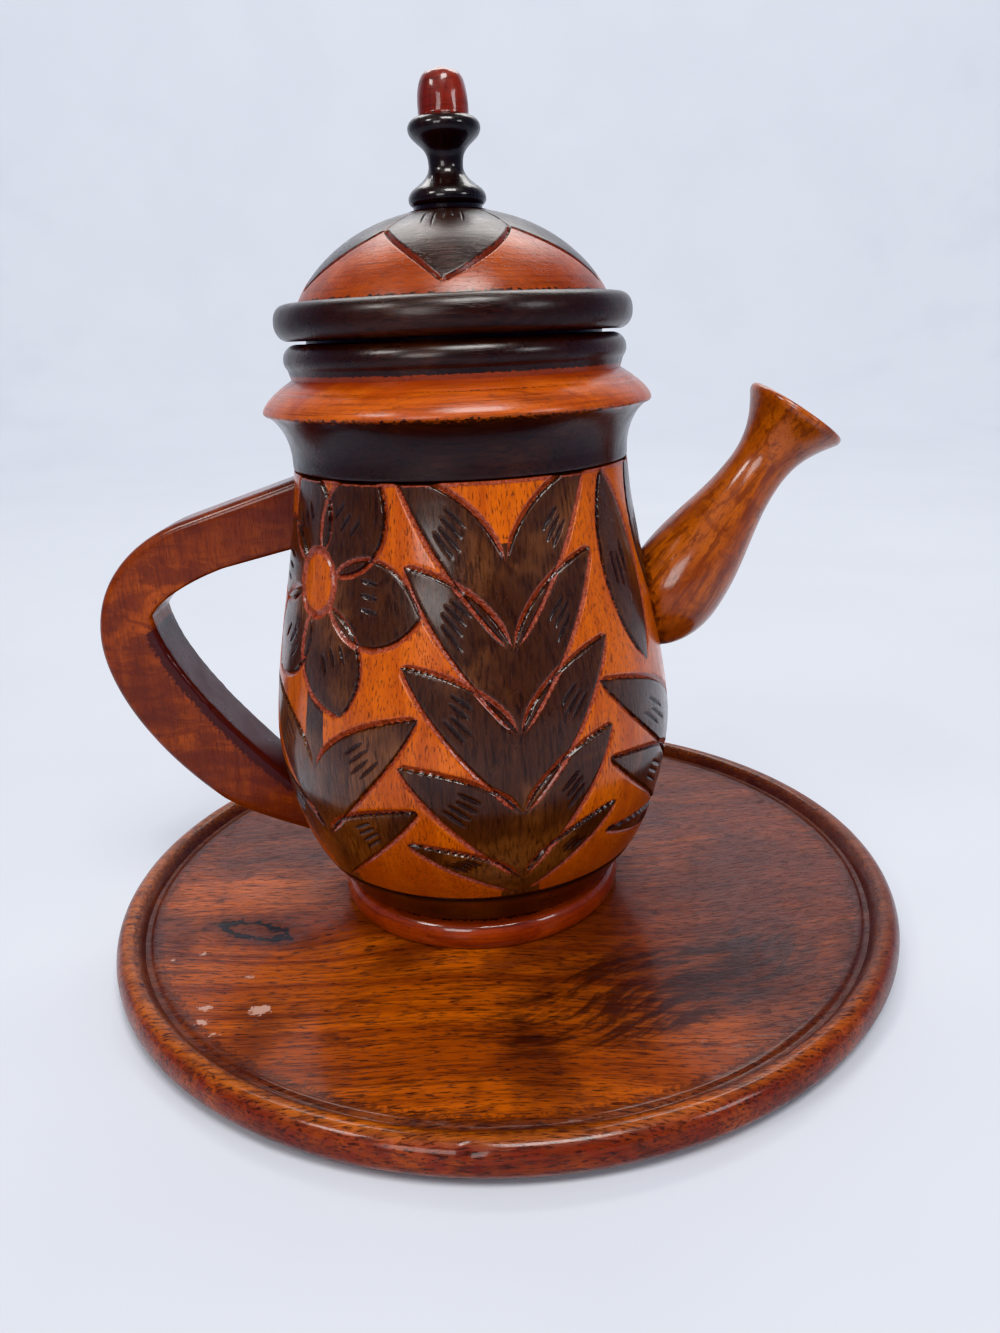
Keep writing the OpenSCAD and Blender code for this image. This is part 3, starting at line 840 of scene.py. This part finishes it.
def make_spout():
    around = 180
    angle = np.linspace(0, 2 * math.pi, around, endpoint=False)
    outer = path((15.2, 0), [(16.1, -0.2), (16.3, -1.2), (15.6, -2.5)], [(11.5, -8), (9, -13), (8.8, -20)],
                 [(8.8, -36), (15.3, -46), (15.5, -64)], [(15.5, -73), (11, -84), (0, -86)], pitch=0.8)
    skin_line = body_outline(1.0) - np.array([1.6, 0])
    descending = outer[::-1]

    def outer_radius(height):
        return np.interp(height, descending[:, 1], descending[:, 0])
    foot_at = meets(skin_line, outer_radius, angle, -85.9, -25.0)
    cavity = body_inside()[::-1]
    cavity = cavity[(cavity[:, 1] < 136) & (cavity[:, 0] > 36)]
    tenon_r, passage_r = 7.5, 4.5
    tenon_end = meets(cavity, lambda h: np.full(np.shape(h), tenon_r), angle, -100.0, -50.0)
    passage_end = meets(cavity, lambda h: np.full(np.shape(h), passage_r), angle, -100.0, -50.0)
    rings, from_wall = [], []
    for t in np.linspace(1, 0, 12):
        height = passage_end * t - 16 * (1 - t)
        rings.append(spout_points(np.full(around, passage_r), height, angle))
    for r, h in path((passage_r, -16), [(4.9, -9), (8.5, -4), (12.6, 0)], (15.2, 0), pitch=0.8)[1:]:
        rings.append(spout_points(np.full(around, r), np.full(around, h), angle))
    down = arc_length(outer)
    for t in np.linspace(0, 1, 150)[1:]:
        reach = np.interp(-foot_at, -outer[:, 1], down)
        r = np.interp(reach * t, down, outer[:, 0])
        h = np.interp(reach * t, down, outer[:, 1])
        from_wall += [np.full(around, 50.0)] * (len(rings) - len(from_wall)) + [reach * (1 - t)]
        rings.append(spout_points(r, h, angle))
    tenon_start = meets(skin_line, lambda h: np.full(np.shape(h), tenon_r), angle, -85.9, -25.0)
    for t in np.linspace(0, 1, 6):
        rings.append(spout_points(np.full(around, tenon_r), tenon_start * (1 - t) + tenon_end * t, angle))
    rings = np.array(rings)
    from_wall = np.array(from_wall + [np.zeros(around)] * (len(rings) - len(from_wall)))
    piece = skin("turned_spout", rings[::-1], {"from_wall": from_wall[::-1]}, loop=True)

    def darkened(shade, colour):
        """Redder and darker towards the foot of the spout, streaked and mottled, with a dark glue line at
        its joint with the body and painted shade of that gap.
        """
        split = shade.node("ShaderNodeSeparateXYZ", {"Vector": shade.coords((1, 1, 1), -SPOUT_TILT)})
        along = split.outputs["Z"]
        foot = shade.remap(along, 100, 60, 0, 0.65)
        streak = shade.noise(shade.coords((0.5, 0.5, 0.035), -SPOUT_TILT), 1.0, 4, 0.6, 0.4)
        colour = shade.mix(shade.remap(streak, 0.5, 0.62, 0, 0.65), colour, srgb(86, 32, 12))
        mottle = shade.noise(shade.coords((0.09, 0.09, 0.2), -SPOUT_TILT), 1.0, 4, 0.6, 0.8)
        colour = shade.mix(shade.remap(mottle, 0.5, 0.64, 0, 0.5), colour, srgb(96, 38, 14))
        patches = shade.remap(shade.noise(shade.coords(), 0.09, 3), 0.35, 0.65)
        blotched = shade.math("MULTIPLY", foot, patches)
        colour = shade.mix(blotched, colour, srgb(92, 30, 14))
        rough = shade.remap(shade.noise(shade.coords(), 0.5, 4), 0.3, 0.7, -2.5, 2.5)
        # Dark line round the joint with the body: a glue line, with painted shade of the gap
        seam = shade.remap(shade.math("ADD", shade.value("from_wall"), rough), 4.5, 1.5, 0, 0.85)
        return shade.mix(seam, colour, srgb(46, 15, 10))
    tones = (srgb(156, 76, 18), srgb(128, 56, 13), srgb(70, 28, 10))
    material = plain_material("spout_wood", tones, Z_GRAIN, -SPOUT_TILT, 0.9, 0.8, extra=darkened)
    return place(piece, "pot", "spout", material)


def section(width, thickness, outer_r, inner_r):
    """Rounded section of the handle: distance in from the outer edge, and across the board."""
    half = thickness / 2
    corners = [((outer_r, -half + outer_r), outer_r, 270, 180),
               ((outer_r, half - outer_r), outer_r, 180, 90),
               ((width - inner_r, half - inner_r), inner_r, 90, 0),
               ((width - inner_r, -half + inner_r), inner_r, 0, -90)]
    points = []
    for (cx, cy), r, start, stop in corners:
        points += [(cx + r * math.cos(math.radians(a)), cy + r * math.sin(math.radians(a)))
                   for a in np.linspace(start, stop, 7)]
    ring = np.array(points + points[:1])
    gaps = np.linalg.norm(np.diff(ring, axis=0), axis=1)
    out = []
    for a, b, gap in zip(ring, ring[1:], gaps):
        count = 12 if gap > 4 else 1
        out += [a + (b - a) * i / count for i in range(count)]
    return np.array(out)


def make_handle():
    outer = path((-44, 143.4), (-86.5, 130), [(-104, 124), (-116, 111), (-116.3, 93)],
                 [(-116.3, 76), (-104, 54.5), (-84.4, 37.5)], [(-77, 32), (-66, 28), (-50, 22)], pitch=1.0)
    arm = path((-44, 122.4), (-74.4, 115.3), [(-85, 112), (-96, 106), (-98.7, 101)], pitch=1.0)
    leg = path((-98.7, 101), [(-96.5, 85), (-80, 64), (-61.8, 44.4)], (-50, 32), pitch=1.0)
    reach, arm_s, leg_s = arc_length(outer), arc_length(arm), arc_length(leg)
    corner = 0.47
    rings, edges = [], []
    sections = 260
    rng = np.random.default_rng(17)
    rough = np.convolve(rng.normal(0, 1, sections * 2), np.ones(3) / 3, "same")
    for i in range(sections):
        t = i / (sections - 1)
        start = [np.interp(t * reach[-1], reach, outer[:, k]) for k in (0, 1)]
        if t < corner:
            line, s, place_on = arm, arm_s, t / corner
        else:
            line, s, place_on = leg, leg_s, (t - corner) / (1 - corner)
        end = [np.interp(place_on * s[-1], s, line[:, k]) for k in (0, 1)]
        start, end = np.array(start), np.array(end)
        width = np.linalg.norm(end - start)
        inner_r = 1.6 + 0.25 * rough[i] if t > corner else 1.4
        ring = section(width, HANDLE_T, 2.6, inner_r)
        flat = start + (end - start) * ring[:, :1] / width
        rings.append(np.stack([flat[:, 0], ring[:, 1], flat[:, 1]], -1))
        from_inner = np.maximum(width - 2.2 - ring[:, 0], 0)
        worn_part = (t > corner) * ease((t - corner) * 30) * ease((0.93 - t) * 12 + 0.5)
        edges.append(worn_part * (1.7 - from_inner) - (1 - worn_part) * FAR)
    rings = np.array(rings)
    worn_mm = np.clip(np.array(edges), -FAR, FAR)
    piece = skin("sawn_handle", rings[:, ::-1], {"worn_mm": worn_mm[:, ::-1]})

    def darkened(shade, colour):
        """Mottled figure across the board, darker lower arm, and the dark rough inner edge."""
        mottle = shade.noise(shade.coords((0.045, 0.045, 0.14)), 1.0, 5, 0.65, 1.2)
        colour = shade.mix(shade.remap(mottle, 0.44, 0.6, 0, 0.7), colour, srgb(80, 27, 11))
        hatch = shade.noise(shade.coords((1.3, 1.3, 0.12)), 1.0, 3, 0.6)
        colour = shade.mix(shade.remap(hatch, 0.5, 0.66, 0, 0.5), colour, srgb(66, 22, 9))
        soil = shade.noise(shade.coords((0.03, 0.03, 0.03)), 1.0, 4, 0.6)
        colour = shade.mix(shade.remap(soil, 0.5, 0.62, 0, 0.6), colour, srgb(72, 24, 13))
        height = shade.node("ShaderNodeSeparateXYZ", {"Vector": shade.coords()}).outputs["Z"]
        low = shade.math("MULTIPLY", shade.remap(height, 82, 48),
                         shade.remap(shade.noise(shade.coords((1, 1, 2)), 0.06, 3), 0.3, 0.6, 0.2, 1))
        colour = shade.mix(shade.math("MULTIPLY", low, 0.75), colour, srgb(78, 26, 14))
        colour = shade.mix(shade.remap(height, 112, 136, 0, 0.6), colour, srgb(74, 22, 8))
        return shade.mix(shade.edge(shade.value("worn_mm"), 0.8, 0.3), colour, srgb(54, 15, 10))
    tones = (srgb(148, 64, 12), srgb(122, 48, 9), srgb(64, 24, 8))
    material = plain_material("handle_wood", tones, Z_GRAIN, 0, 0.8, extra=darkened)
    return place(piece, "pot", "handle", material)


# Tray: its rim's width, and the place of a knot in it as (x, y) from its centre
RIM_W = 9
KNOT = (-82, -30)


def make_tray():
    around = 512
    r, h = TRAY_R, TRAY_H
    floor = FLOOR_Z
    inner = r - RIM_W
    bottom = path((0, 0), (r - 12, 0), pitch=8.0)
    rim = path((r - 12, 0), [(r - 5, 0.2), (r, 2.5), (r, h / 2)], [(r, h - 2.2), (r - 2, h), (r - 5, h)],
               [(inner + 2.5, h), (inner + 1, floor + 1.5), (inner, floor - 0.6)],
               (inner - 1.6, floor - 0.6), (inner - 2.6, floor), pitch=0.7)
    flat = path((inner - 2.6, floor), (0, floor), pitch=1.1)
    profile = join(bottom, rim, flat)
    radius, height = profile[:, :1], profile[:, 1:]
    azimuth = np.radians(azimuths(around))[None, :]
    x, y = radius * np.sin(azimuth), -radius * np.cos(azimuth)
    on_top = (height > floor - 1) & (radius < r - 2)
    speck = np.full(x.shape, -FAR)
    rng = np.random.default_rng(9)
    for size in (2.1, 1.3, 1.1, 0.7, 0.7, 0.7, 0.5):
        a, from_centre = math.radians(rng.uniform(-67, -42)), rng.uniform(94, 117)
        cx, cy = from_centre * math.sin(a), -from_centre * math.cos(a)
        speck = np.maximum(speck, size - np.hypot((x - cx) * 0.7, y - cy))
    dx, dy = x - KNOT[0], y - KNOT[1]
    along, across = dx * 0.95 - dy * 0.31, dx * 0.31 + dy * 0.95
    knot = np.hypot(along / 2.8, across)
    sink = 0.5 * np.clip(1 - knot / 6.2, 0, 1) * on_top
    sink = sink + 0.04 * (waver(np.degrees(azimuth), height, 51) + 1) * (radius > 60) * (height > 0.5)
    chip = np.hypot(x + 10, (y + r - 2) * 1.4)
    sink = sink + 0.7 * np.clip(1 - chip / 2.6, 0, 1) * (height > h - 4)
    groove = np.where(height > floor - 1, 4.0 - np.abs(radius - inner + 1.2), -FAR)
    around_knot = 1 - 0.66 * np.exp(-knot**2 / 220)
    grain_y = KNOT[1] + dy * around_knot + 4 * np.sin(x / 48 + 0.8) + 3 * np.sin(x / 23 + y / 60)
    across_smoke = (y + 68) - 0.42 * (x - 42)
    smoke = 1 - np.hypot((x - 42 + 0.42 * (y + 68)) / 56, across_smoke / 22)
    # Grey patch towards the front right of the tray floor: dust and painted sheen
    dust_and_sheen_patch = 1 - np.hypot((x - 56) / 20, (y + 92) / 7)
    values = {"speck_mm": np.where(on_top, np.clip(speck, -FAR, FAR), -FAR),
              "knot": np.where(on_top, knot, 90), "groove_mm": np.clip(groove, -FAR, FAR),
              "rim": np.clip((radius - inner) / RIM_W, -1, 1), "grain_y": grain_y,
              "smoke": np.where(on_top, smoke, -1), "dust_and_sheen_patch": np.where(on_top, dust_and_sheen_patch, -1),
              "smoke_y": across_smoke + 3 * np.sin(x / 9) + 2 * np.sin(x / 21 + y / 7)}
    rings = turn(profile, around, sink)
    rings = rings - np.array([AXIS_X, 0, FLOOR_Z])
    piece = skin("round_tray", rings, values)
    return place(piece, "tray", "tray", tray_material())


def tray_material():
    """Tray: red-brown to orange, grain from side to side that flows round a knot, and painted shade in the
    groove.
    """
    shade = Shade("tray_wood")
    place_mm = shade.coords()
    split = shade.node("ShaderNodeSeparateXYZ", {"Vector": place_mm})
    bent = shade.node("ShaderNodeCombineXYZ", {"X": split.outputs["X"], "Y": shade.value("grain_y"),
                                               "Z": split.outputs["Z"]}).outputs[0]

    def along(stretch):
        return shade.node("ShaderNodeVectorMath", {0: bent, 1: stretch}, operation="MULTIPLY").outputs[0]
    fine = shade.noise(along((0.06, 1, 1)), 0.9, 5, 0.65, 0.3)
    bands = shade.noise(along((0.03, 1, 1)), 0.11, 4, 0.6, 0.5)
    cloud = shade.noise(place_mm, 0.02, 3, 0.6, 0.5)
    dash = shade.noise(along((0.22, 1.7, 1.7)), 1.0, 3, 0.6)
    pore = shade.remap(dash, 0.53, 0.64, 0, 0.9)
    colour = shade.mix(shade.remap(bands, 0.38, 0.64), srgb(162, 76, 20), srgb(118, 48, 14))
    colour = shade.mix(shade.remap(cloud, 0.45, 0.62, 0, 0.8), colour, srgb(86, 36, 17))
    right = shade.math("MULTIPLY", shade.remap(split.outputs["X"], 0, 70, 0, 0.6),
                       shade.remap(split.outputs["Y"], -105, -70))
    colour = shade.mix(right, colour, srgb(70, 30, 19))
    rim = shade.value("rim")
    mottle = shade.noise(place_mm, 0.16, 4, 0.65)
    # Painted shade: the rim's outer face, which faces down and out, is darkened to a mottled dark red
    outside = shade.math("MULTIPLY", shade.remap(rim, 0.55, 0.85),
                         shade.remap(mottle, 0.3, 0.62, 0.9, 0.35))
    colour = shade.mix(outside, colour, srgb(98, 28, 18))
    # Golden top of the rim, with painted light that grows towards the left
    crest = shade.math("MULTIPLY", shade.remap(rim, 0.02, 0.25), shade.remap(rim, 0.85, 0.6))
    painted_light_left = shade.math("MULTIPLY", shade.remap(mottle, 0.4, 0.6, 0.45, 0.85),
                       shade.remap(split.outputs["X"], 100, -60, 0.3, 1))
    colour = shade.mix(shade.math("MULTIPLY", crest, painted_light_left), colour, srgb(160, 84, 30))
    colour = shade.mix(shade.remap(fine, 0.45, 0.68, 0, 0.75), colour, srgb(58, 19, 9))
    colour = shade.mix(pore, colour, srgb(44, 15, 9))
    drift = shade.node("ShaderNodeCombineXYZ", {"X": shade.math("MULTIPLY", split.outputs["X"], 0.05),
                                                "Y": shade.math("MULTIPLY", shade.value("smoke_y"), 0.2)})
    wisps = shade.noise(drift.outputs[0], 1.0, 6, 0.72, 0.4)
    smoky = shade.math("ADD", shade.value("smoke"), shade.math("MULTIPLY", wisps, 1.2))
    there = shade.remap(smoky, 0.4, 0.9)
    dark_wisps = shade.math("MULTIPLY", there, shade.remap(wisps, 0.42, 0.56, 0.25, 0.88))
    colour = shade.mix(dark_wisps, colour, srgb(38, 17, 14))
    stains = shade.noise(shade.coords((0.05, 0.12, 0.1)), 1.0, 5, 0.7, 1.0)
    colour = shade.mix(shade.remap(stains, 0.56, 0.68, 0, 0.6), colour, srgb(52, 20, 13))
    # Painted shade: the groove at the foot of the rim is darkened
    darkened = shade.edge(shade.value("groove_mm"), 1.6, 1.2)
    colour = shade.mix(shade.math("MULTIPLY", darkened, 0.6), colour, srgb(44, 19, 17))
    # Grey over the groove and that patch: partly dust, partly painted sheen
    scuffs = shade.noise(shade.coords((0.4, 1, 1)), 0.5, 5, 0.7)
    patch = shade.math("MAXIMUM", shade.math("MULTIPLY", darkened, 0.55),
                       shade.remap(shade.value("dust_and_sheen_patch"), 0, 0.6))
    dust_and_sheen = shade.math("MULTIPLY", patch, shade.remap(scuffs, 0.54, 0.7, 0, 0.5))
    colour = shade.mix(dust_and_sheen, colour, srgb(124, 104, 98))
    knot = shade.math("ADD", shade.value("knot"),
                      shade.remap(shade.noise(place_mm, 0.3, 3), 0.3, 0.7, -1.0, 1.0))
    colour = shade.mix(shade.remap(knot, 12, 4, 0, 0.75), colour, srgb(62, 24, 12))
    ring = shade.math("MULTIPLY", shade.remap(knot, 2.7, 3.4), shade.remap(knot, 5.4, 4.4))
    colour = shade.mix(ring, colour, srgb(18, 8, 7))
    colour = shade.mix(shade.edge(shade.value("speck_mm"), 0.7, 0.25), colour, srgb(176, 136, 120))
    roughness = shade.remap(shade.noise(place_mm, 0.05, 4, 0.6), 0.3, 0.7, 0.28, 0.5)
    height = shade.math("SUBTRACT", fine, shade.math("MULTIPLY", pore, 0.9))
    return shade.finish(colour, roughness, height, 0.32, coat=0.4, coat_roughness=0.14)


def finish_dowels():
    """Bare wood on the hidden dowels, which keep their CAD shapes."""
    shade = Shade("dowel_wood")
    colour, height = wood(shade, srgb(214, 176, 120), srgb(196, 150, 94), srgb(140, 98, 58), X_GRAIN,
                          blotch=0.3)
    material = shade.finish(colour, 0.6, height, 0.1, coat=0.0)
    for name in ("upper_dowel", "lower_dowel"):
        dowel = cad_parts[name]
        dowel.data.materials.clear()
        dowel.data.materials.append(material)


# ---------------------------------------------------------------- floor, light, camera

def make_floor():
    """Pale round table top that curves up into a wall far from the object on every side."""
    line = path((0, 0), (1.3, 0), [(1.9, 0), (2.2, 0.3), (2.2, 1.0)], (2.2, 3.2), pitch=0.12)[1:]
    around = 96
    angle = np.linspace(0, 2 * math.pi, around, endpoint=False)
    verts = [(0, 0, 0)] + [(r * math.cos(a), r * math.sin(a), z) for r, z in line for a in angle]
    faces = [(0, 1 + i, 1 + (i + 1) % around) for i in range(around)]
    for ring in range(len(line) - 1):
        low, high = 1 + ring * around, 1 + (ring + 1) * around
        for i in range(around):
            k = (i + 1) % around
            faces.append((low + i, high + i, high + k, low + k))
    mesh = bpy.data.meshes.new("floor")
    mesh.from_pydata(verts, [], faces)
    mesh.shade_smooth()
    floor = bpy.data.objects.new("floor", mesh)
    bpy.context.scene.collection.objects.link(floor)
    shade = Shade("pale_floor")
    cloud = shade.noise(shade.coords(), 0.006, 3)
    colour = shade.mix(shade.remap(cloud, 0.3, 0.7), srgb(198, 202, 211), srgb(192, 196, 205))
    floor.data.materials.append(shade.finish(colour, 0.6, cloud, 0.05, coat=0.0))


def make_light(name, place_at, aim, size, power, tint):
    data = bpy.data.lights.new(name, "AREA")
    data.shape = "RECTANGLE"
    data.size, data.size_y = size
    data.energy = power
    data.color = tint
    lamp = bpy.data.objects.new(name, data)
    lamp.location = place_at
    lamp.rotation_euler = (Vector(aim) - Vector(place_at)).to_track_quat("-Z", "Y").to_euler()
    bpy.context.scene.collection.objects.link(lamp)


def make_lights():
    centre = (0, 0, 0.12)
    make_light("key", (0.16, -0.62, 1.15), centre, (0.5, 0.36), 12, (1.0, 0.98, 0.95))
    make_light("left", (-0.75, -0.6, 0.95), centre, (0.26, 0.26), 4.5, (1.0, 0.97, 0.93))
    make_light("front", (-0.42, -1.15, 0.5), centre, (0.45, 0.45), 4.5, (1.0, 0.98, 0.96))
    make_light("right", (0.95, -0.72, 0.62), centre, (0.3, 0.3), 3, (0.97, 0.98, 1.0))
    make_light("back", (0.05, 0.8, 1.15), centre, (1.2, 0.5), 7, (1.0, 0.98, 0.94))
    make_light("wash", (0, 0.95, 1.9), (0, 2.2, 0.5), (2.2, 0.5), 34, (1.0, 0.99, 0.96))
    world = bpy.data.worlds.new("studio")
    world.use_nodes = True
    world.node_tree.nodes["Background"].inputs["Color"].default_value = (0.93, 0.95, 1.0, 1)
    world.node_tree.nodes["Background"].inputs["Strength"].default_value = 0.42
    bpy.context.scene.world = world
    bpy.context.scene.view_settings.view_transform = "Khronos PBR Neutral"


def make_camera():
    """Camera held a little above the pot, looking down at it and rolled slightly."""
    pitch, roll = 18.436, -2.4447
    data = bpy.data.cameras.new("camera")
    data.lens = 27.0
    data.sensor_width = 36.0
    camera = bpy.data.objects.new("camera", data)
    turn_down = (Matrix.Rotation(math.radians(90 - pitch), 4, "X")
                 @ Matrix.Rotation(math.radians(roll), 4, "Z"))
    camera.matrix_world = Matrix.Translation((0.001248, -0.311822, 0.190105)) @ turn_down
    data.clip_start, data.clip_end = 0.01, 50
    bpy.context.scene.collection.objects.link(camera)
    bpy.context.scene.camera = camera


make_camera()
make_floor()
make_lights()
make_tray()
make_foot()
make_body()
make_collar()
make_spout()
make_handle()
finish_dowels()
make_lid()
make_finial()

bpy.context.view_layer.update()
